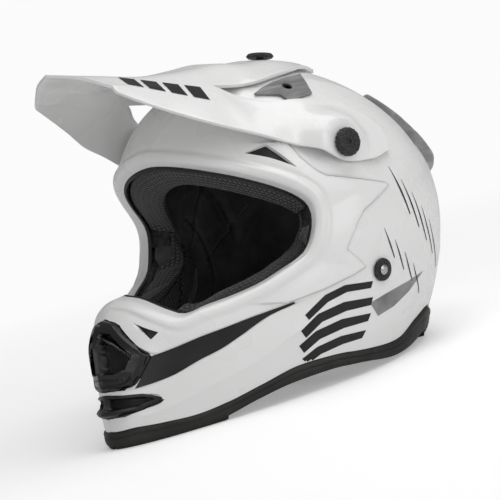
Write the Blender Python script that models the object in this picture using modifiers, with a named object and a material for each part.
"""Off-road helmet with an adjustable peak, as separate parts.

Shapes are worked out in millimetres in a fitting frame (x to the wearer's left, y to the
rear, z up, centred in the head) and placed on the ground at the end: the helmet stands on
its base trim, faces -Y, and the origin is under the middle of its footprint.
"""
import math

import bmesh
import bpy
import numpy as np
from mathutils import Matrix, Vector

MM = 0.001                # metres in a millimetre

# ---------------------------------------------------------------- driving dimensions (mm)
BASE_TILT = math.radians(20.2)  # slope of the base rim in the fitting frame
REST_Z = -103.5           # height of the rest plane once the base rim is level
HEAD = np.array([0.0, 0.0, 5.0])
CROWN_START, CROWN_TOP, CROWN_POWER = 20.0, 148.0, 2.15
SHELL_WALL = 4.5
EDGE_WALL = 1.2           # the wall is thinned where the base trim grips it
EYE_LIP = 9.0             # inward return of the wall round the eyeport
EPS_OUT, EPS_IN = 6.2, 30.0
PAD_GAP = 1.4
PEAK_WALL = 2.6
PEAK_CLEAR = 2.2          # between shell and peak, where the peak wraps the shell

# Level sections of the shell: (height z, value)
WIDTH = [  # half width
    (-175, 70), (-150, 80), (-110, 98), (-70, 110), (-30, 118), (10, 122.5), (40, 122.5),
    (90, 121), (148, 119),
]
FRONT = [  # front reach
    (-175, 140), (-160, 149), (-145, 154), (-128, 157), (-105, 160), (-85, 163), (-76, 162),
    (-62, 157), (-44, 147), (-20, 139), (10, 136), (45, 131), (70, 129), (100, 131), (148, 132),
]
REAR = [  # rear reach
    (-175, 70), (-120, 100), (-90, 120), (-60, 135), (-20, 148), (20, 152), (60, 153),
    (100, 152), (148, 150),
]
MIDDLE = [(-175, 10), (-100, 10), (-40, 6), (20, 6), (148, 2)]  # y of the widest point
# Superellipse powers of the front and rear halves
POWER_FRONT = [
    (-175, 1.7), (-130, 1.62), (-80, 1.6), (-55, 1.6), (-25, 1.63), (10, 1.68), (50, 1.85),
    (148, 2.1),
]
POWER_REAR = [(-175, 2.0), (-60, 2.1), (20, 2.15), (148, 2.1)]

# Rim of the eyeport, from the middle of the brow round the left side to the middle of the chin
EYE_RIM = [
    (0, -124, 60), (29, -119, 57), (55, -110, 53), (82, -92, 47), (102, -69, 39),
    (110, -56, 33), (114, -47, 26), (115, -43, 18), (115, -42, 9), (113, -43, -3),
    (110, -47, -15), (106, -56, -24), (99, -66, -32), (90, -79, -42), (76, -97, -52),
    (62, -115, -60), (51, -129, -67), (41, -137, -63), (29, -143, -57), (16, -147, -52),
    (0, -149, -49),
]
# From the middle of the nape to the middle of the chin:
# (share of the way, lower edge of the shell, lower edge of the trim)
LOWER_EDGES = [
    (0.00, (0, 134, -48), (0, 132, -63)),
    (0.07, (48, 124, -46), (46, 122, -63)),
    (0.14, (84, 103, -44), (80, 102, -66)),
    (0.20, (97, 76, -57), (91, 74, -79)),
    (0.26, (102, 55, -74), (98, 53, -87)),
    (0.34, (106, 22, -84), (103, 18, -94)),
    (0.42, (104, -1, -88), (100, -4, -98)),
    (0.52, (92, -40, -99), (87, -42, -111)),
    (0.60, (78, -66, -114), (74, -66, -124)),
    (0.68, (64, -87, -127), (60, -87, -138)),
    (0.78, (49, -110, -139), (47, -108, -149)),
    (0.86, (35, -128, -144), (33, -126, -155)),
    (0.93, (18, -144, -148), (17, -141, -159)),
    (1.00, (0, -151, -150), (0, -147, -160)),
]

# Sides: name and the factors that carry a left-hand point there
SIDES = (("left", np.array([1, 1, 1])), ("right", np.array([-1, 1, 1])))

# ---------------------------------------------------------------- materials
WHITE = dict(name="gloss_white_paint", colour=(0.86, 0.86, 0.85), roughness=0.18)
BLACK = dict(name="satin_black_plastic", colour=(0.02, 0.02, 0.02), roughness=0.42)
GREY = dict(name="grey_plastic", colour=(0.28, 0.28, 0.28), roughness=0.4)
RUBBER = dict(name="black_rubber", colour=(0.015, 0.015, 0.015), roughness=0.65)
FOAM = dict(name="eps_foam", colour=(0.05, 0.05, 0.055), roughness=0.9)
CLOTH = dict(name="liner_fabric", colour=(0.035, 0.035, 0.037), roughness=0.95)
MESH = dict(name="mesh_fabric", colour=(0.06, 0.06, 0.06), roughness=0.9)
STEEL = dict(name="plated_steel", colour=(0.55, 0.55, 0.56), roughness=0.3, metallic=1.0)
WEB = dict(name="strap_webbing", colour=(0.02, 0.02, 0.02), roughness=0.85)
BRASS = dict(name="brass_insert", colour=(0.6, 0.45, 0.2), roughness=0.35, metallic=1.0)

MATERIALS = {}


def material(name, colour, roughness, metallic=0.0):
    if name not in MATERIALS:
        made = bpy.data.materials.new(name)
        made.use_nodes = True
        inputs = made.node_tree.nodes["Principled BSDF"].inputs
        inputs["Base Color"].default_value = (*colour, 1)
        inputs["Roughness"].default_value = roughness
        inputs["Metallic"].default_value = metallic
        MATERIALS[name] = made
    return MATERIALS[name]


# ---------------------------------------------------------------- curves through stations
def spline(stations):
    """Smooth curve through (parameter, number or vector) stations that never overshoots them."""
    knots = np.array([station[0] for station in stations], float)
    values = np.array([station[1] for station in stations], float)
    is_scalar = values.ndim == 1
    if is_scalar:
        values = values[:, None]
    slopes = np.diff(values, axis=0) / np.diff(knots)[:, None]
    tangents = np.zeros_like(values)
    for i in range(1, len(knots) - 1):
        before, after = knots[i] - knots[i - 1], knots[i + 1] - knots[i]
        weight_before, weight_after = 2 * after + before, after + 2 * before
        same = slopes[i - 1] * slopes[i] > 0
        slope_before = np.where(same, slopes[i - 1], 1)
        slope_after = np.where(same, slopes[i], 1)
        mean = (weight_before + weight_after) / (
            weight_before / slope_before + weight_after / slope_after)
        tangents[i] = np.where(same, mean, 0)
    tangents[0], tangents[-1] = slopes[0], slopes[-1]

    def at(x):
        x = np.clip(np.asarray(x, float), knots[0], knots[-1])
        i = np.clip(np.searchsorted(knots, x) - 1, 0, len(knots) - 2)
        step = knots[i + 1] - knots[i]
        part = ((x - knots[i]) / step)[..., None]
        step = step[..., None]
        result = (
            (2 * part**3 - 3 * part**2 + 1) * values[i]
            + (part**3 - 2 * part**2 + part) * step * tangents[i]
            + (3 * part**2 - 2 * part**3) * values[i + 1]
            + (part**3 - part**2) * step * tangents[i + 1]
        )
        return result[..., 0] if is_scalar else result

    return at


def by_length(points):
    """Curve through points, with a parameter from 0 to 1 by length."""
    points = np.array(points, float)
    steps = np.linalg.norm(np.diff(points, axis=0), axis=1)
    length = np.concatenate([[0], np.cumsum(steps)])
    return spline(list(zip(length / length[-1], points)))


half_width, front_reach, rear_reach = spline(WIDTH), spline(FRONT), spline(REAR)
middle_y, power_front, power_rear = spline(MIDDLE), spline(POWER_FRONT), spline(POWER_REAR)
eye_at = by_length(EYE_RIM)
edge_at = spline([(share, shell_edge) for share, shell_edge, _ in LOWER_EDGES])
trim_at = spline([(share, trim_edge) for share, _, trim_edge in LOWER_EDGES])


# ---------------------------------------------------------------- the shell's surface
def outside(point):
    """Positive outside the shell's outer surface."""
    x, y, z = point[..., 0], point[..., 1], point[..., 2]
    climb = np.clip((z - CROWN_START) / (CROWN_TOP - CROWN_START), 0, 0.99999)
    cap = np.where(z > CROWN_START, np.sqrt(1 - climb**CROWN_POWER), 1.0)
    centre = middle_y(z)
    ahead = y < centre
    reach = np.where(ahead, front_reach(z) * cap + centre, rear_reach(z) * cap - centre)
    reach = np.maximum(reach, 1e-6)
    power = np.where(ahead, power_front(z), power_rear(z))
    total = (np.abs(x) / (half_width(z) * cap)) ** power + (np.abs(y - centre) / reach) ** power
    return np.where(z >= CROWN_TOP, 5.0, total ** (1 / power) - 1)


def radius(direction):
    """Distance from the head's centre to the shell's outer surface, by halving."""
    shape = direction.shape[:-1]
    low, high = np.full(shape, 20.0), np.full(shape, 330.0)
    for _ in range(36):
        mid = (low + high) / 2
        inside = outside(HEAD + direction * mid[..., None]) < 0
        low, high = np.where(inside, mid, low), np.where(inside, high, mid)
    return (low + high) / 2


def toward(point):
    """Unit direction from the head's centre."""
    away = np.asarray(point, float) - HEAD
    return away / np.linalg.norm(away, axis=-1, keepdims=True)


def skin(direction, offset=0.0):
    """Points on the shell's outer surface along directions, moved out by offset."""
    return HEAD + direction * (radius(direction) + offset)[..., None]


def shell_normal(near):
    """The point of the shell in line with a point near it, and the outward normal there."""
    point = skin(toward(near)[None])[0]
    normal = np.array([outside(point + step) - outside(point - step) for step in np.eye(3) * 0.5])
    return point, normal / np.linalg.norm(normal)


def front_y(x, z):
    """y of the front of the shell at x and z."""
    power, centre = power_front(z), middle_y(z)
    depth = np.maximum(1 - (np.abs(x) / half_width(z)) ** power, 0) ** (1 / power)
    return centre - (front_reach(z) + centre) * depth


def to_chart(direction):
    """Flat chart of directions, centred on +x: (towards +y, towards +z), in radians."""
    angle = np.arccos(np.clip(direction[..., 0], -1, 1))
    sideways = np.maximum(np.hypot(direction[..., 1], direction[..., 2]), 1e-9)
    return np.stack([angle * direction[..., 1] / sideways,
                     angle * direction[..., 2] / sideways], -1)


def from_chart(chart):
    angle = np.hypot(chart[..., 0], chart[..., 1])
    scale = np.sin(angle) / np.maximum(angle, 1e-9)
    return np.stack([np.cos(angle), chart[..., 0] * scale, chart[..., 1] * scale], -1)


def middle_arc(start, end, across):
    """Chart points on the plane of symmetry, from start over the top (or down the chin) to end."""
    angle_0, angle_1 = [math.atan2(p[2] - HEAD[2], -p[1]) for p in (start, end)]
    if angle_1 < angle_0 and end[1] > 0:
        angle_1 += 2 * math.pi
    angle = angle_0 + (angle_1 - angle_0) * across
    return np.stack([-np.cos(angle), np.sin(angle)], -1) * (math.pi / 2)


def field(along, across):
    """Directions over the left half of the shell. along runs from the plane of symmetry at the
    brow and nape (0) to the one at the chin (1), across from the eyeport (0) to the lower
    edge (1)."""
    along, across = np.broadcast_arrays(np.asarray(along, float), np.asarray(across, float))
    share = across[..., None]

    def straight(position):
        return ((1 - share) * to_chart(toward(eye_at(position)))
                + share * to_chart(toward(edge_at(position))))

    chart = straight(along)
    # Near either end the lines bend to run along the plane of symmetry
    for weight, end in (((1 - along) ** 2.5, 0.0), (along**4, 1.0)):
        arc = middle_arc(eye_at(end), edge_at(end), across)
        chart = chart + weight[..., None] * (arc - straight(end))
    direction = from_chart(chart)
    at_end = (along < 1e-9) | (along > 1 - 1e-9)
    direction[..., 0] = np.where(at_end, 0.0, direction[..., 0])
    return direction


def between_rails(rail_a, rail_b, length_points, width_points):
    """Grid of directions from one rail of points to the other."""
    share = np.linspace(0, 1, length_points)
    line_a, line_b = by_length(rail_a)(share), by_length(rail_b)(share)
    across = np.linspace(0, 1, width_points)[None, :, None]
    return toward(line_a[:, None] * (1 - across) + line_b[:, None] * across)


# ---------------------------------------------------------------- levelled frame
COS_TILT, SIN_TILT = math.cos(BASE_TILT), math.sin(BASE_TILT)


def to_level(point):
    """From the fitting frame to the one in which the base rim is level."""
    point = np.asarray(point, float)
    x, y, z = point[..., 0], point[..., 1], point[..., 2]
    return np.stack([x, y * COS_TILT + z * SIN_TILT, -y * SIN_TILT + z * COS_TILT], -1)


def from_level(point):
    point = np.asarray(point, float)
    x, y, z = point[..., 0], point[..., 1], point[..., 2]
    return np.stack([x, y * COS_TILT - z * SIN_TILT, y * SIN_TILT + z * COS_TILT], -1)


# ---------------------------------------------------------------- scene and mesh helpers
PARTS = bpy.data.collections.new("motocross_helmet")
CUTS = bpy.data.collections.new("cutters")


def clear_scene():
    for thing in list(bpy.data.objects):
        bpy.data.objects.remove(thing, do_unlink=True)
    bpy.context.scene.unit_settings.scale_length = 1.0
    for collection in (PARTS, CUTS):
        bpy.context.scene.collection.children.link(collection)
    CUTS.hide_render = True


def place(name, mesh, finish=None):
    """Puts a mesh in the scene as a part or, without a finish, as a cutter."""
    made = bpy.data.objects.new(name, mesh)
    if finish:
        PARTS.objects.link(made)
        mesh.materials.append(material(**finish))
    else:
        CUTS.objects.link(made)
        made.hide_render = True
        made.display_type = "WIRE"
    return made


def to_mesh(name, work):
    """Turns a bmesh into a new mesh."""
    mesh = bpy.data.meshes.new(name)
    work.to_mesh(mesh)
    work.free()
    return mesh


def orient(work, measure):
    """Makes the normals consistent, on the side where measure is positive."""
    bmesh.ops.recalc_face_normals(work, faces=work.faces)
    if measure(work) < 0:
        bmesh.ops.reverse_faces(work, faces=work.faces)


def turned_out(mesh, weld=1e-7):
    """Welds a closed mesh and turns its faces outwards; weld is in metres."""
    work = bmesh.new()
    work.from_mesh(mesh)
    bmesh.ops.remove_doubles(work, verts=work.verts, dist=weld)
    orient(work, lambda body: body.calc_volume(signed=True))
    work.to_mesh(mesh)
    work.free()
    return mesh


def tie(points, faces):
    """Points that coincide, to 0.0001 mm, made one."""
    points = np.asarray(points, float)
    _, first, index = np.unique(
        np.round(points / 1e-4).astype(np.int64), axis=0, return_index=True, return_inverse=True)
    index = index.reshape(-1)
    tied = []
    for face in faces:
        loop = []
        for corner in face:
            k = int(index[corner])
            if not loop or loop[-1] != k:
                loop.append(k)
        if len(loop) > 1 and loop[0] == loop[-1]:
            loop.pop()
        if len(loop) > 2:
            tied.append(loop)
    return points[first], tied


def pydata_mesh(name, points, faces):
    """A mesh from points in mm, with coinciding points tied."""
    points, faces = tie(points, faces)
    mesh = bpy.data.meshes.new(name)
    mesh.from_pydata([tuple(point) for point in points * MM], [], faces)
    return mesh


def add_mirror(part):
    mirror = part.modifiers.new("other_half", "MIRROR")
    mirror.use_axis[0] = True
    mirror.use_mirror_merge = True
    mirror.merge_threshold = 1e-5


def add_solidify(part, thickness, offset=-1.0):
    wall = part.modifiers.new("wall", "SOLIDIFY")
    wall.thickness = thickness * MM
    wall.offset = offset
    wall.use_even_offset = False
    return wall


def apply_all(part):
    graph = bpy.context.evaluated_depsgraph_get()
    graph.update()
    mesh = bpy.data.meshes.new_from_object(part.evaluated_get(graph))
    part.modifiers.clear()
    part.data = mesh


def boolean(part, other, operation="DIFFERENCE", solver="EXACT"):
    modifier = part.modifiers.new(operation.lower(), "BOOLEAN")
    modifier.operation = operation
    modifier.solver = solver
    modifier.object = other
    bpy.context.view_layer.update()
    apply_all(part)


# ---------------------------------------------------------------- body makers
def make(name, points, faces, finish=None, half=False):
    """A closed body from points in mm. A half body has its faces in the plane x = 0 left out
    and gets its other half from a Mirror modifier."""
    if half:
        faces = [face for face in faces if not all(abs(points[i][0]) < 1e-6 for i in face)]
    made = place(name, turned_out(pydata_mesh(name, points, faces)), finish)
    if half:
        add_mirror(made)
        apply_all(made)
    return made


def slab_mesh(outer, inner):
    """Points and faces of the body between two grids of points [i, j]."""
    rows, cols = outer.shape[:2]
    points = np.concatenate([outer.reshape(-1, 3), inner.reshape(-1, 3)])

    def top(i, j):
        return i * cols + j

    def low(i, j):
        return rows * cols + i * cols + j

    faces = []
    last = cols - 1
    for i in range(rows - 1):
        for j in range(cols - 1):
            faces.append((top(i, j), top(i + 1, j), top(i + 1, j + 1), top(i, j + 1)))
            faces.append((low(i, j), low(i, j + 1), low(i + 1, j + 1), low(i + 1, j)))
        faces.append((top(i, 0), low(i, 0), low(i + 1, 0), top(i + 1, 0)))
        faces.append((top(i, last), top(i + 1, last), low(i + 1, last), low(i, last)))
    end = rows - 1
    for j in range(cols - 1):
        faces.append((top(0, j), top(0, j + 1), low(0, j + 1), low(0, j)))
        faces.append((top(end, j), low(end, j), low(end, j + 1), top(end, j + 1)))
    return points, faces


def profile_loop(name, grid, finish):
    """A symmetric loop; grid[i, j] is point j of the closed section i on its left half."""
    grid[0, :, 0] = 0
    grid[-1, :, 0] = 0
    rows, cols = grid.shape[:2]
    faces = []
    for i in range(rows - 1):
        here, there = i * cols, (i + 1) * cols
        for j in range(cols):
            k = (j + 1) % cols
            faces.append((here + j, there + j, there + k, here + k))
    return make(name, grid.reshape(-1, 3), faces, finish, half=True)


def sheet(name, grid, finish):
    """An open surface, facing away from the head, with points at grid[i, j] (mm)."""
    rows, cols = grid.shape[:2]
    work = bmesh.new()
    bmesh.ops.create_grid(work, x_segments=rows - 1, y_segments=cols - 1, size=0.5)
    for vertex in work.verts:
        i = round((vertex.co.x + 0.5) * (rows - 1))
        j = round((vertex.co.y + 0.5) * (cols - 1))
        vertex.co = grid[i, j] * MM
    centre = Vector(HEAD * MM)
    orient(work, lambda surface: sum(
        face.calc_area() * face.normal.dot(face.calc_center_median() - centre)
        for face in surface.faces))
    return place(name, to_mesh(name, work), finish)


def layer(name, finish, along, across, outer, inner, flip=None):
    """A body between two depths under the shell's surface, over part of the field. A depth is
    a number or a function of (along, across). Without flip it is symmetric; with it, the
    body lies on one side only."""
    along, across = np.meshgrid(along, across, indexing="ij")
    direction = field(along, across)
    faces_of = [skin(direction, -(depth(along, across) if callable(depth) else depth))
                for depth in (outer, inner)]
    points, faces = slab_mesh(*faces_of)
    if flip is None:
        return make(name, points, faces, finish, half=True)
    return make(name, points * flip, faces, finish)


def pillow(along_span, across_span, edge, full, power=4):
    """Depth that runs from edge at the border of a patch to full in its middle. A patch that
    reaches the plane of symmetry has its middle there."""
    start, end = along_span
    low, high = across_span

    def depth(along, across):
        if start <= 0:
            length_part = np.clip(along / end, 0, 1)
        elif end >= 1:
            length_part = np.clip((1 - along) / (1 - start), 0, 1)
        else:
            length_part = np.clip((along - start) / (end - start), 0, 1) * 2 - 1
        width_part = np.clip((across - low) / (high - low), 0, 1) * 2 - 1
        fullness = (1 - np.abs(length_part) ** power) * (1 - np.abs(width_part) ** power)
        return edge + (full - edge) * fullness

    return depth


def spike(name, ring, low, high, finish=None, grow=0.0):
    """A body over an outline on the shell, between offsets low and high; grow widens the
    outline (mm)."""
    direction = toward(ring)
    centre = toward(ring.mean(axis=0))[None]
    if grow:
        base = skin(direction)
        middle = base.mean(axis=0)
        spread = base - middle
        spread = spread * (1 + grow / np.linalg.norm(spread, axis=1, keepdims=True))
        direction = toward(middle + spread)
    points = np.concatenate(
        [skin(direction, high), skin(direction, low), skin(centre, high), skin(centre, low)])
    count = len(ring)
    faces = []
    for i in range(count):
        j = (i + 1) % count
        faces += [(i, j, count + j, count + i), (2 * count, i, j),
                  (2 * count + 1, count + j, count + i)]
    return make(name, points, faces, finish)


def front_panel(name, outline, low, high, finish=None, grow=0.0, rows=7, cols=9, nose=0.0):
    """A symmetric body over the left half of an outline seen from the front (x, z), between
    low and high ahead of the shell. nose pushes its middle further forward."""
    outline = np.array(outline, float)
    if grow:
        centre = np.array([0, outline[:, 1].mean()])
        spread = outline - centre
        size = np.maximum(np.linalg.norm(spread, axis=1, keepdims=True), 1e-6)
        outline = centre + spread * (1 + grow / size)
    share = np.linspace(0, 1, rows)
    border = by_length(outline)(share)
    middle_z = np.linspace(outline[0, 1], outline[-1, 1], rows)
    across = np.linspace(-1, 1, cols)
    outer, inner = [], []
    for i in range(rows):
        x = border[i, 0] * across
        z = middle_z[i] + (border[i, 1] - middle_z[i]) * np.abs(across)
        y = front_y(x, z)
        lift = nose * (1 - np.abs(across)) * math.sin(math.pi * share[i]) ** 0.5
        outer.append(np.c_[x, y - high - lift, z])
        inner.append(np.c_[x, y - low, z])
    points, faces = slab_mesh(np.array(outer), np.array(inner))
    return make(name, points, faces, finish)


def frame_of(axis):
    z = Vector(axis).normalized()
    x = z.orthogonal().normalized()
    return Matrix((x, z.cross(x), z)).transposed()


def lathe(name, position, axis, profile, finish=None, steps=24, knurled_rows=()):
    """A turned body from a profile of (radius, height), given from bottom to top, and a Screw
    modifier. The profile points in knurled_rows get knurls."""
    work = bmesh.new()
    row = [work.verts.new((r * MM, 0, height * MM)) for r, height in reversed(profile)]
    for pair in zip(row, row[1:]):
        work.edges.new(pair)
    if min(r for r, _ in profile) > 1e-6:
        work.edges.new((row[-1], row[0]))
    made = place(name, to_mesh(name, work), finish)
    turn = made.modifiers.new("turn", "SCREW")
    turn.axis = "Z"
    turn.angle = 2 * math.pi
    turn.screw_offset = 0.0
    turn.steps = turn.render_steps = steps
    turn.use_merge_vertices = True
    turn.merge_threshold = 1e-5
    apply_all(made)
    for i in knurled_rows:
        knurl(made, *profile[i])
    shift = Matrix.Translation(Vector(np.array(position, float) * MM))
    made.data.transform(shift @ frame_of(axis).to_4x4())
    turned_out(made.data)
    return made


def knurl(part, ring_radius, height):
    """Waves the circle of points at a radius and height (mm) inwards."""
    for vertex in part.data.vertices:
        spot = vertex.co
        reach = math.hypot(spot.x, spot.y)
        if abs(spot.z - height * MM) < 1e-6 and abs(reach - ring_radius * MM) < 1e-6:
            wave = 0.5 + 0.5 * math.cos(KNURLS * math.atan2(spot.y, spot.x))
            factor = 1 - KNURL_DEPTH * wave / ring_radius
            spot.x *= factor
            spot.y *= factor


def pin(name, position, axis, pin_radius, bottom, top, steps):
    """A solid cylinder for cutting, between two heights along an axis."""
    profile = [(0, bottom), (pin_radius, bottom), (pin_radius, top), (0, top)]
    return lathe(name, position, axis, profile, steps=steps)


def sleeve(name, position, axis, bore, rim, bottom, top, finish, steps):
    """A hollow cylinder with inner radius bore and outer radius rim."""
    profile = [(bore, bottom), (rim, bottom), (rim, top), (bore, top)]
    return lathe(name, position, axis, profile, finish, steps)


def box(name, position, size):
    """A block for cutting."""
    work = bmesh.new()
    bmesh.ops.create_cube(work, size=1.0)
    bmesh.ops.scale(work, vec=Vector(size) * MM, verts=work.verts)
    shift = Vector([float(value) for value in position]) * MM
    bmesh.ops.translate(work, vec=shift, verts=work.verts)
    return place(name, to_mesh(name, work))


def closed_curve(name, dimensions, points):
    """A closed poly curve through points in mm."""
    curve = bpy.data.curves.new(name, "CURVE")
    curve.dimensions = dimensions
    line = curve.splines.new("POLY")
    line.points.add(len(points) - 1)
    for knot, (x, y, z) in zip(line.points, points):
        knot.co = (x * MM, y * MM, z * MM, 1)
    line.use_cyclic_u = True
    return curve


def curve_body(name, curve, finish=None, matrix=None):
    """The closed mesh of a curve, its caps welded to its sides."""
    guide = bpy.data.objects.new(name + "_curve", curve)
    CUTS.objects.link(guide)
    if matrix is not None:
        guide.matrix_world = matrix
    bpy.context.view_layer.update()
    graph = bpy.context.evaluated_depsgraph_get()
    mesh = bpy.data.meshes.new_from_object(guide.evaluated_get(graph))
    mesh.transform(guide.matrix_world)
    mesh.materials.clear()
    mesh.name = name
    bpy.data.objects.remove(guide, do_unlink=True)
    return place(name, turned_out(mesh, weld=1e-6), finish)


def plate(name, ring, front, back):
    """A flat outline of (x, z) points, extruded along y for cutting."""
    curve = closed_curve(name, "2D", [(x, z, 0) for x, z in ring])
    curve.fill_mode = "BOTH"
    curve.extrude = (back - front) * MM / 2
    stand = Matrix(((1, 0, 0, 0), (0, 0, -1, (front + back) * MM / 2), (0, 1, 0, 0), (0, 0, 0, 1)))
    return curve_body(name, curve, matrix=stand)


def wire_loop(name, points, wire_radius, finish):
    """A closed round wire."""
    curve = closed_curve(name, "3D", points)
    curve.bevel_depth = wire_radius * MM
    curve.bevel_resolution = 1
    return curve_body(name, curve, finish)


# ---------------------------------------------------------------- shell
# Rows across the field, closer together near its two edges
SHELL_ROWS = [0, 0.02, 0.05, 0.11, 0.18, 0.26, 0.34, 0.43, 0.52, 0.61, 0.70, 0.78, 0.85, 0.91,
              0.96, 1.0]
LIP_END = 0.03            # share of the way across where the eyeport lip has run out
THIN_START = 0.91         # share where the wall starts to thin towards the lower edge


def build_shell():
    """Half of the outer surface, mirrored, then given its wall, which varies by a vertex group."""
    along, across = np.meshgrid(np.linspace(0, 1, 31), SHELL_ROWS, indexing="ij")
    grid = skin(field(along, across))
    shell = sheet("outer_shell", grid, WHITE)
    thickness = SHELL_WALL + (EYE_LIP - SHELL_WALL) * np.clip(1 - across / LIP_END, 0, 1)
    thinning = np.clip((across - THIN_START) / (1 - THIN_START), 0, 1)
    thickness = thickness + (EDGE_WALL - SHELL_WALL) * thinning
    share = thickness.reshape(-1) / EYE_LIP
    wall = shell.vertex_groups.new(name="wall")
    places = grid.reshape(-1, 3) * MM
    for vertex in shell.data.vertices:
        nearest = int(np.argmin(((places - np.array(vertex.co)) ** 2).sum(1)))
        wall.add([vertex.index], float(share[nearest]), "REPLACE")
    add_mirror(shell)
    add_solidify(shell, EYE_LIP).vertex_group = "wall"
    apply_all(shell)
    shell.vertex_groups.clear()
    return shell


# ---------------------------------------------------------------- liners
PAD_FACE = EPS_IN + PAD_GAP           # depth at which pads meet the main foam
CHEEK_EPS_OUT, CHEEK_EPS_IN, CHEEK_PAD_IN = 9.2, 17.0, 47.0
TEMPLE_END = 0.515                    # along: the main foam backs the cheek pad up to here
CHEEK_PAD_MIN = 4.0                   # least thickness of a cheek pad
EPS_ALONG = np.linspace(0, 0.47, 13)


def build_foam():
    """Main foam, returned, and the foam block of the chin."""
    layer("chin_eps", FOAM, np.linspace(0.875, 1, 5), np.linspace(0.12, 0.90, 5),
          outer=13.5, inner=24.0)
    across = np.concatenate([[0.095], np.linspace(0.17, 0.94, 10)])
    return layer("eps_liner", FOAM, EPS_ALONG, across, EPS_OUT, EPS_IN)


def build_pads():
    """Symmetric pads: crown, brow, nape and chin."""
    layer("crown_pad", CLOTH, EPS_ALONG[:11], np.linspace(0.14, 0.84, 11), outer=PAD_FACE + 0.6,
          inner=pillow((0, 0.405), (0.14, 0.84), edge=PAD_FACE + 3, full=PAD_FACE + 13))
    layer("brow_band", MESH, np.linspace(0, 0.405, 12), np.linspace(0.004, 0.068, 4),
          outer=EYE_LIP + 4.7,
          inner=pillow((0, 0.42), (0.001, 0.068), edge=34, full=43, power=5))
    layer("neck_roll", CLOTH, np.linspace(0, 0.36, 11), np.linspace(0.88, 0.985, 5),
          outer=PAD_FACE,
          inner=pillow((0, 0.36), (0.88, 0.985), edge=PAD_FACE + 4, full=PAD_FACE + 17,
                       power=2.5))
    layer("chin_pad", MESH, np.linspace(0.885, 1, 5), np.linspace(0.14, 0.86, 5), outer=25.5,
          inner=pillow((0.885, 1), (0.14, 0.86), edge=27, full=32, power=3))


def cheek_back(along, across):
    """Depth of a cheek pad's outer face: over the main foam at the temple, over the cheek foam
    below it."""
    return np.where(along < TEMPLE_END, EPS_IN + 0.6, CHEEK_EPS_IN) + PAD_GAP


cheek_pillow = pillow((0.40, 0.87), (-0.25, 0.9), edge=24, full=CHEEK_PAD_IN)


def cheek_face(along, across):
    """Depth of a cheek pad's inner face."""
    return np.maximum(cheek_pillow(along, across), cheek_back(along, across) + CHEEK_PAD_MIN)


def build_cheeks():
    for side, flip in SIDES:
        layer("cheek_eps_" + side, FOAM, np.linspace(0.525, 0.85, 11),
              np.linspace(0.155, 0.88, 7), CHEEK_EPS_OUT, CHEEK_EPS_IN, flip)
        layer("cheek_pad_" + side, CLOTH, np.linspace(0.42, 0.86, 12),
              np.linspace(0.028, 0.9, 8), cheek_back, cheek_face, flip)


# ---------------------------------------------------------------- peak
SCREW_POS = (111.0, -20.0, 72.0)      # near the left screw
BOSS_RISE = 10.5          # flat boss of the peak under each side screw, above the shell
BOSS_OUTER, BOSS_BLEND = 34, 16       # radius where the boss has faded out, width of the fade
BOSS_MIN_X = 70           # points nearer the middle than this aren't moved for the boss
# Left half: across the top from the middle to the shoulder crease, row by row towards the rear
PEAK_TOP = [
    [(0, -217, 118), (26, -206, 114.5), (50, -191, 106)],
    [(0, -190, 119.5), (27, -184, 117), (50.5, -172, 107)],
    [(0, -155, 122), (29, -152, 120), (52, -143, 109.5)],
    [(0, -122, 128), (30, -121, 126), (54, -115, 112.5)],
    [(0, -98, 135), (30, -97, 132), (55, -98, 116)],
    [(0, -72, 143), (30, -70, 139.5), (55, -70, 120)],
    [(0, -45, 148.5), (31, -46, 145), (60, -55, 121)],
    [(0, -14, 151.5), (29, -16, 148), (59, -30, 130)],
    [(0, 16, 152), (22, 14, 150), (44, 4, 141)],
    [(0, 42, 149), (12, 40, 149), (22, 35, 148)],
]
# Down the side from the crease, row by row towards the rear
PEAK_SIDE = [
    [(50, -191, 106), (51.5, -190, 103.5), (53, -188, 101)],
    [(50.5, -172, 107), (55, -171, 101.5), (58, -172, 96)],
    [(52, -143, 109.5), (61, -144, 99), (68, -147, 89)],
    [(54, -115, 112.5), (69, -118, 98), (81, -121, 82)],
    [(55, -98, 116), (74, -97, 98), (88, -98, 78)],
    [(67, -82, 108), (84, -79, 91), (96, -77, 74)],
    [(79, -62, 103), (94, -58, 88), (103, -59, 70)],
    [(88, -38, 106), (103, -37, 85), (110, -38, 62)],
    [(94, -8, 108), (109, -8, 84), (118, -14, 56)],
    [(99, 13, 100), (112, 14, 82), (119, 10, 61)],
    [(105, 31, 88), (111, 33, 80), (114, 32, 71)],
]
PEAK_ON_SHELL = 6         # from this row on, the top and the side follow the shell
PEAK_SPLIT = 4            # row where the side wings part from the tongue
PEAK_FINER = 2            # steps that each step of the tables is divided into


def finer_rows(grid):
    """Splined rows added between the rows of a grid of points."""
    count, cols = grid.shape[:2]
    curve = spline(list(zip(range(count), grid.reshape(count, -1))))
    return curve(np.arange(0, count - 1 + 1e-9, 1 / PEAK_FINER)).reshape(-1, cols, 3)


def finer(grid):
    """Splined points added between the rows, then between the columns."""
    return np.moveaxis(finer_rows(np.moveaxis(finer_rows(grid), 1, 0)), 0, 1)


def peak_grid(table):
    grid = np.array(table, float)
    lift = PEAK_CLEAR + PEAK_WALL + 0.8
    grid[PEAK_ON_SHELL:] = skin(toward(grid[PEAK_ON_SHELL:]), lift)
    grid[..., 0] = np.where(np.abs(grid[..., 0]) < 1e-6, 0.0, grid[..., 0])
    return finer(grid)


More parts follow.
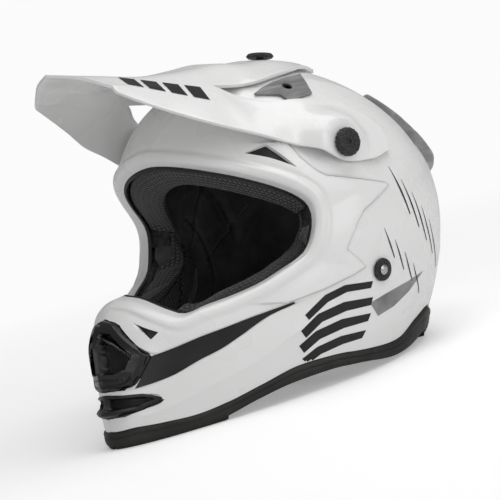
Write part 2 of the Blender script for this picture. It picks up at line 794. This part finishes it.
def raise_boss(grid, seat):
    """Flattens the grid round the side screw at the boss's height."""
    distance = np.hypot(grid[..., 1] - seat[1], grid[..., 2] - seat[2])
    weight = np.clip((BOSS_OUTER - distance) / BOSS_BLEND, 0, 1)
    weight = weight * weight * (3 - 2 * weight)
    rise = seat[0] + BOSS_RISE - grid[..., 0]
    grid[..., 0] += rise * weight * (grid[..., 0] > BOSS_MIN_X)


def build_peak():
    top, side = peak_grid(PEAK_TOP), peak_grid(PEAK_SIDE)
    joined = PEAK_SPLIT * PEAK_FINER + 1
    side[:joined, 0] = top[:joined, -1]
    seat = shell_normal(SCREW_POS)[0]
    points, faces = [], []
    for grid in (top, side):
        raise_boss(grid, seat)
        rows, cols = grid.shape[:2]
        for i in range(rows - 1):
            for j in range(cols - 1):
                k = len(points) + i * cols + j
                faces.append((k, k + cols, k + cols + 1, k + 1))
        points += list(grid.reshape(-1, 3))
    mesh = pydata_mesh("peak", points, faces)
    work = bmesh.new()
    work.from_mesh(mesh)
    orient(work, lambda surface: sum(
        face.normal.z * face.calc_area() for face in surface.faces))
    work.to_mesh(mesh)
    work.free()
    peak = place("peak", mesh, WHITE)
    add_mirror(peak)
    add_solidify(peak, PEAK_WALL)
    apply_all(peak)
    return peak


# ---------------------------------------------------------------- openings and vents
# Outlines on the left half, seen from the front: (x, z), from top to bottom
MOUTH = [(0, -66), (12, -69), (17, -75), (26, -85), (34.5, -94), (29, -106), (22, -117),
         (12, -120.5), (0, -121)]
MOUTH_WINDOW = [(5, -78), (13, -79.5), (27, -95), (18.5, -110), (6, -112)]
MOUTH_GRILLE = [(0, -73), (13, -75), (22, -85), (29, -95), (24, -107), (12, -115), (0, -115)]
GRILLE_SLOTS = [(6.5, -95, 26), (12.5, -96, 22), (18.5, -97, 12)]  # middle x, middle z, height
SLOT_WIDTH, SLOT_DEPTH, SLOT_Y = 3.6, 90, -160
SCOOP = [(0, -124.5), (12, -124.5), (22, -123.5), (30, -123), (37.5, -125), (38, -127),
         (25, -135.5), (8, -141), (0, -141.5)]
SCOOP_WINDOW = [(5, -128), (14, -127.5), (28, -126.5), (32, -127.5), (23, -133), (7, -137.5)]
SCOOP_GRILLE = [(0, -126), (15, -126), (28, -125), (34, -127), (24, -134.5), (8, -139.5),
                (0, -139.5)]
# Outlines on the left half of the shell: (x, y, z)
CHIN_MESH = [(24, -151, -69), (41, -139, -77), (36, -143, -83)]
BROW_MESH = [(79, -86, 61.5), (88, -72, 68), (97, -62, 58), (104, -54, 49.5), (92, -71, 57)]
# name, outline, offset of the mesh's inner face
SIDE_MESHES = (("chin_mesh_", CHIN_MESH, -4.0), ("brow_mesh_", BROW_MESH, -4.2))
TOP_VENT = [(65, -64, 110), (64, -55, 116), (63, -44, 121), (62, -29, 127), (58, -11, 132),
            (70, -16, 123), (82, -20, 113), (83, -43, 104), (76, -47, 110)]
VENT_BORE_POS = np.array([71, -36, 118])
VENT_BORE_R = 4.2
# Upper and lower rail of the black strip on each side of the chin
FLASH_TOP = [(37.5, -139, -94.5), (48, -128, -88), (61, -115, -81), (72, -100, -74),
             (83, -83, -66), (91, -67, -59), (98, -52, -52.5)]
FLASH_LOW = [(26, -144, -118.5), (43, -130, -111), (59, -113, -98), (69, -101, -90),
             (78, -89, -80), (89, -70, -64), (98.5, -51, -53.5)]
FLASH_TOP_OFFSET, FLASH_WALL = 1.9, 1.0


def cut_openings(shell):
    boolean(shell, front_panel("mouth_cut", MOUTH, -14, 8, grow=0.9))
    boolean(shell, front_panel("scoop_cut", SCOOP, -14, 8, grow=0.7))
    for side, flip in SIDES:
        for name, ring, _ in SIDE_MESHES:
            boolean(shell, spike("cut_" + name + side, ring * flip, -12, 6, grow=0.8))
        boolean(shell, spike("cut_top_" + side, TOP_VENT * flip, -12, 6, grow=-3.0))


def cut_windows(part, name, outline, front, back):
    """Cuts an (x, z) outline through a part on the left and on the right."""
    for sign in (1, -1):
        boolean(part, plate(name, [(sign * x, z) for x, z in outline], front, back))


def build_mouth_vent():
    """Frame with two windows, and a slotted grille behind it."""
    frame = front_panel("mouth_vent", MOUTH, -4.4, 3.0, BLACK, nose=2.5)
    cut_windows(frame, "mouth_win", MOUTH_WINDOW, front=-200, back=-120)
    grille = front_panel("mouth_grille", MOUTH_GRILLE, -7.6, -5.8, MESH, rows=5, cols=5)
    for sign in (1, -1):
        for x, z, height in GRILLE_SLOTS:
            boolean(grille, box("bar", (sign * x, SLOT_Y, z), (SLOT_WIDTH, SLOT_DEPTH, height)))


def build_chin_scoop():
    """Frame with two windows, and a grille behind it."""
    scoop = front_panel("chin_scoop", SCOOP, -4.4, 4.0, BLACK)
    cut_windows(scoop, "scoop_win", SCOOP_WINDOW, front=-200, back=-110)
    front_panel("scoop_grille", SCOOP_GRILLE, -7.4, -5.8, MESH, rows=5, cols=5)


def build_side_meshes():
    for side, flip in SIDES:
        for name, ring, inner in SIDE_MESHES:
            spike(name + side, ring * flip, inner, -1.6, MESH)


def build_side_flashes():
    direction = between_rails(FLASH_TOP, FLASH_LOW, length_points=13, width_points=4)
    for side, flip in SIDES:
        flash = sheet("side_flash_" + side, skin(direction, FLASH_TOP_OFFSET) * flip, BLACK)
        add_solidify(flash, FLASH_WALL)
        apply_all(flash)
        turned_out(flash.data)


def build_top_vents():
    """Grey covers over the crown's side openings, with a round hole."""
    for side, flip in SIDES:
        cover = spike("top_vent_" + side, TOP_VENT * flip, 0.9, 2.6, GREY)
        position, normal = shell_normal(VENT_BORE_POS * flip)
        boolean(cover, pin("vent_bore_" + side, position, normal, VENT_BORE_R,
                           bottom=-8, top=8, steps=16))


# ---------------------------------------------------------------- rear spoiler
# Upper and lower rail, from the left end to the middle
SPOILER_TOP = [(66, 49, 121), (44, 72, 122), (20, 84, 123), (0, 88, 123)]
SPOILER_LOW = [(84, 86, 84), (62, 118, 72), (30, 138, 66), (0, 143, 64)]
SPOILER_INNER = 1.3       # offset of the inner face
SPOILER_OUTER = 3.8       # offset of the outer face along the upper rail
SPOILER_KICK = 9.0        # further rise of the outer face at the middle of the lower rail
SPOILER_FADE = 0.45       # share of that rise lost at the side ends


def build_spoiler():
    """Grey exhaust cover over the back of the crown."""
    direction = between_rails(SPOILER_TOP, SPOILER_LOW, length_points=9, width_points=7)
    direction[-1, :, 0] = 0
    toward_middle, down = np.linspace(0, 1, 9)[:, None], np.linspace(0, 1, 7)
    kick = SPOILER_KICK * down**1.4 * (1 - SPOILER_FADE * (1 - toward_middle))
    points, faces = slab_mesh(skin(direction, SPOILER_OUTER + kick),
                              skin(direction, SPOILER_INNER))
    make("rear_spoiler", points, faces, GREY, half=True)


# ---------------------------------------------------------------- screws
TOP_SCREW_NEAR = (0.0, -3.0, 150.0)
SCREW_HEAD_R, SCREW_HEAD_H, SCREW_SHANK_R = 11.5, 7.0, 3.0
SCREW_LENGTH = 20
TOP_HEAD_H = 3.4          # the middle screw has a low head
TOP_LIFT = 3.6            # its height over the peak, which rises under it as the peak tilts
INSERT_R, INSERT_BORE = 6.0, 3.5
KNURLS, KNURL_DEPTH = 12, 1.1
HEAD_RIM = (4, 5)         # points of the screw profile that are knurled
TOP_SLOT = (8.4, 22.0, 16.0)


def screw_profile(height):
    rim = SCREW_HEAD_R
    dish = height - height * 0.3
    return [(0, -SCREW_LENGTH), (SCREW_SHANK_R, -SCREW_LENGTH), (SCREW_SHANK_R, 0),
            (rim - 1.5, 0), (rim, 1.2), (rim, height - 1.6), (rim - 1.6, height),
            (rim * 0.62, height), (rim * 0.5, dish), (0, dish)]


def screw_spots():
    """Point on the shell and axis of each screw."""
    seat = shell_normal(SCREW_POS)[0]
    spots = {side: (seat * flip, np.array([flip[0], 0.0, 0.0])) for side, flip in SIDES}
    crown, axis = shell_normal(TOP_SCREW_NEAR)
    crown[0] = 0.0
    axis = axis * [0, 1, 1]
    spots["top"] = (crown, axis / np.linalg.norm(axis))
    return spots


def build_screws(shell, peak, foam):
    """Three thumb screws, their inserts, and the holes they need; returns the screws' places."""
    spots = screw_spots()
    for tag, (spot, axis) in spots.items():
        is_top = tag == "top"
        if not is_top:
            # A free-standing cutter, wider than the screw head
            pin("pad_cut_" + tag, spot, axis, SCREW_HEAD_R + 2.5, bottom=-14, top=30, steps=24)
        boolean(shell, pin("hole_" + tag, spot, axis, INSERT_R + 0.4,
                           bottom=-20, top=1.2, steps=20))
        boolean(foam, pin("deep_" + tag, spot, axis, INSERT_R + 2.0,
                          bottom=-20, top=-3, steps=20))
        if is_top:
            boolean(peak, box("slot_top", spot + axis * 4, TOP_SLOT))
            rise, head = PEAK_CLEAR + PEAK_WALL + TOP_LIFT, TOP_HEAD_H
        else:
            boolean(peak, pin("peak_hole_" + tag, spot, axis, SCREW_SHANK_R + 0.9,
                              bottom=-2, top=24, steps=20))
            rise, head = BOSS_RISE + 0.6, SCREW_HEAD_H
        sleeve("peak_insert_" + tag, spot, axis, INSERT_BORE, INSERT_R,
               bottom=-12, top=-1.2, finish=BRASS, steps=20)
        lathe("peak_screw_" + tag, spot + axis * rise, axis, screw_profile(head), BLACK,
              steps=KNURLS * 3, knurled_rows=HEAD_RIM)
    return {tag: spot for tag, (spot, _) in spots.items()}


# ---------------------------------------------------------------- straps
RIVET_POS = (118.0, 20.0, -24.0)      # near the left rivet
RIVET_LIFT = 1.2          # of ring and rivet over the shell
RIVET_RING = [(4.6, 0), (9.2, 0), (8.8, 1.4), (5.0, 1.8), (4.6, 1.6)]  # (radius, height)
RIVET = [(0, -14.4), (5.4, -14.4), (5.4, -13.2), (2.9, -13.2), (2.9, 0), (4.1, 0.4), (4.0, 2.2),
         (2.4, 3.2), (0, 3.5)]
STRAP_W, STRAP_T = 22.0, 2.0
# Middle line of the left strap in the levelled frame: down the side as (distance inwards from
# the rivet, y, z), then under the chin as (x, y, z)
STRAP_DROP = [(8.9, 12, -16), (9.1, 10, -34), (12.0, 4, -48), (18.5, -8, -66), (25, -18, -80),
              (30, -26, -88.5)]
STRAP_RUN = [(74, -31, -91), (56, -34, -91.5), (38, -36, -91.5), (24, -37, -91.5)]
# Where the sleeve's axis and the straight bars of the rings cross, in the levelled frame
RING_CENTRE = np.array(STRAP_RUN[-1]) - [4.6, 0, 0]
RING_GAP = 1.75           # of each ring above or below that centre
RING_HALF, RING_STRAIGHT, RING_BULGE, RING_WIRE = 16.5, 6, 13, 1.35
# Channel through the foam, seen from the front (x, z)
CHANNEL = [(101, 6), (124, 6), (124, -40), (114, -116), (74, -116), (96, -44)]


def webbing(name, path):
    """Flat strap: a line of edges extruded across its width, which lies fore and aft, then
    Solidify."""
    tangent = np.gradient(path, axis=0)
    tangent /= np.linalg.norm(tangent, axis=1, keepdims=True)
    wide = np.array([0, 1.0, 0]) - tangent * tangent[:, 1:2]
    wide *= STRAP_W / np.linalg.norm(wide, axis=1, keepdims=True)
    work = bmesh.new()
    row = [work.verts.new((point - step / 2) * MM) for point, step in zip(path, wide)]
    edges = [work.edges.new(pair) for pair in zip(row, row[1:])]
    moved = bmesh.ops.extrude_edge_only(work, edges=edges)["geom"]
    for vertex in [item for item in moved if isinstance(item, bmesh.types.BMVert)]:
        nearest = min(range(len(row)), key=lambda i: (row[i].co - vertex.co).length)
        vertex.co += Vector(wide[nearest] * MM)
    bmesh.ops.recalc_face_normals(work, faces=work.faces)
    strap = place(name, to_mesh(name, work), WEB)
    add_solidify(strap, STRAP_T, offset=0.0)
    apply_all(strap)
    turned_out(strap.data)
    all_triangles(strap)
    return strap


def all_triangles(part):
    """Splits every face the same way each run, so that bent quads can't be read two ways."""
    work = bmesh.new()
    work.from_mesh(part.data)
    bmesh.ops.triangulate(work, faces=work.faces, quad_method="FIXED", ngon_method="EAR_CLIP")
    work.to_mesh(part.data)
    work.free()


def build_strap(side, path, position, axis):
    """A strap with its rivet hole; the left one ends in the sleeve that holds the D-rings."""
    strap = webbing("strap_" + side, path)
    # EXACT splits the strap's faces differently from run to run, so these use MANIFOLD
    hole = pin("web_hole_" + side, position, axis, 3.5, bottom=-16, top=8, steps=16)
    boolean(strap, hole, solver="MANIFOLD")
    if side == "left":
        start = from_level(RING_CENTRE - [0, STRAP_W / 2, 0])
        loop = sleeve("sleeve", start, from_level([0, 1.0, 0]), bore=3.4, rim=5.0,
                      bottom=0, top=STRAP_W, finish=WEB, steps=16)
        boolean(strap, loop, "UNION", "MANIFOLD")
        bpy.data.objects.remove(loop)


def build_straps(shell, foam):
    """Straps and rivets on both sides; returns the left rivet's place on the shell."""
    rivet, normal = shell_normal(RIVET_POS)
    drop = [(rivet[0] - inwards, y, z) for inwards, y, z in STRAP_DROP]
    path = from_level(by_length(drop + STRAP_RUN)(np.linspace(0, 1, 15)))
    for side, flip in SIDES:
        position, axis = rivet * flip, normal * flip
        boolean(shell, pin("rivet_hole_" + side, position, axis, 3.4,
                           bottom=-9, top=8, steps=16))
        raised = position + axis * RIVET_LIFT
        lathe("rivet_ring_" + side, raised, axis, RIVET_RING, BLACK, steps=24)
        lathe("strap_rivet_" + side, raised, axis, RIVET, STEEL, steps=20)
        ring = [(flip[0] * x, z) for x, z in CHANNEL]
        boolean(foam, plate("channel_" + side, ring, front=-50.0, back=33.0))
        # The right strap stops a step short of the left one's length
        own_path = path if side == "left" else path[:-1]
        build_strap(side, own_path * flip, position, axis)
    return rivet


def build_d_rings():
    """Two D-rings, one over the other; returns their centres in the levelled frame."""
    outline = [(0, -RING_HALF, 0), (0, RING_HALF, 0)]
    for angle in np.linspace(0.0, math.pi, 13):
        outline.append((-RING_STRAIGHT - RING_BULGE * math.sin(angle),
                        RING_HALF * math.cos(angle), 0))
    centres = {}
    for name, rise in (("d_ring_1", RING_GAP), ("d_ring_2", -RING_GAP)):
        centres[name] = RING_CENTRE + [0, 0, rise]
        wire_loop(name, from_level(centres[name] + np.array(outline)), RING_WIRE, STEEL)
    return centres


# ---------------------------------------------------------------- rubber trims
# (share of the way from the shell's edge to the trim's, offset from the shell)
TRIM_PROFILE = [(0.15, -6.5), (0.15, 0.6), (0.25, 2.2), (0.7, 2.6), (1.0, 1.2), (1.0, -5.5),
                (0.8, -7.5), (0.3, -7.5)]
TRIM_FOOT = slice(4, 6)   # the two lowest points of that profile
TRIM_FLARE, FLARE_END = 7.0, 0.2      # outward flare at the nape, and where along it runs out
FOOT_SNAP = 2.6           # a foot this close over the rest plane is flattened onto it
# (share of the way to SEAL_ACROSS in the field, depth under the shell's surface)
SEAL_PROFILE = [(-0.4, 10.2), (0.3, 9.7), (1.0, 9.7), (1.0, 12.2), (0.3, 12.2), (-0.4, 11.6)]
SEAL_ACROSS = 0.012


def build_trim():
    """Closed loop of rubber under the shell's edge, flat where it rests on the ground."""
    along = np.linspace(0, 1, 37)
    upper, lower = edge_at(along), trim_at(along)
    fade = np.clip(1 - along / FLARE_END, 0, 1) ** 1.5
    lines = []
    for share, offset in TRIM_PROFILE:
        flare = TRIM_FLARE * fade * (share if offset > 0 else 0)
        lines.append(skin(toward(upper + (lower - upper) * share), offset + flare))
    grid = to_level(np.stack(lines, 1))
    rests = grid[:, 4:5, 2] < REST_Z + FOOT_SNAP
    grid[..., 2] = np.maximum(grid[..., 2], REST_Z)
    grid[:, TRIM_FOOT, 2] = np.where(rests, REST_Z, grid[:, TRIM_FOOT, 2])
    profile_loop("base_trim", from_level(grid), RUBBER)


def build_seal():
    """Closed loop of rubber inside the eyeport's rim."""
    along = np.linspace(0, 1, 41)
    rim, behind = field(along, 0.0), field(along, SEAL_ACROSS)
    lines = []
    for share, depth in SEAL_PROFILE:
        direction = rim + (behind - rim) * share
        direction /= np.linalg.norm(direction, axis=1, keepdims=True)
        lines.append(skin(direction, -depth))
    profile_loop("eyeport_seal", np.stack(lines, 1), RUBBER)


# ---------------------------------------------------------------- standing on the ground
def stand_up():
    """Levels everything and centres it over the origin; returns the move after levelling, in
    mm."""
    level = Matrix(((1, 0, 0, 0), (0, COS_TILT, SIN_TILT, 0), (0, -SIN_TILT, COS_TILT, 0),
                    (0, 0, 0, 1)))
    everything = list(PARTS.objects) + list(CUTS.objects)
    for thing in everything:
        thing.data.transform(level)
    points = np.array([vertex.co for part in PARTS.objects for vertex in part.data.vertices])
    low, high = points.min(0), points.max(0)
    move = Vector((0.0, -(low[1] + high[1]) / 2, -low[2]))
    for thing in everything:
        thing.data.transform(Matrix.Translation(move))
        thing.data.update()
    return np.array(move) * 1000


def set_origin(name, position):
    """Puts a moving part's origin on its axis; position is in mm on the ground."""
    part = bpy.data.objects[name]
    origin = Vector(position / 1000)
    part.data.transform(Matrix.Translation(-origin))
    part.location = origin


def main():
    clear_scene()
    shell = build_shell()
    foam = build_foam()
    build_pads()
    build_cheeks()
    peak = build_peak()
    cut_openings(shell)
    build_mouth_vent()
    build_chin_scoop()
    build_side_meshes()
    build_side_flashes()
    build_top_vents()
    build_spoiler()
    screws = build_screws(shell, peak, foam)
    rivet = build_straps(shell, foam)
    ring_centres = build_d_rings()
    build_trim()
    build_seal()

    move = stand_up()
    for tag, spot in screws.items():
        set_origin("peak_screw_" + tag, to_level(spot) + move)
    for name, centre in ring_centres.items():
        set_origin(name, centre + move)
    for side, flip in SIDES:
        set_origin("strap_" + side, to_level(rivet * flip) + move)
    # The peak turns about the line through its side screws
    set_origin("peak", (to_level(screws["left"]) + move) * [0, 1, 1])


main()
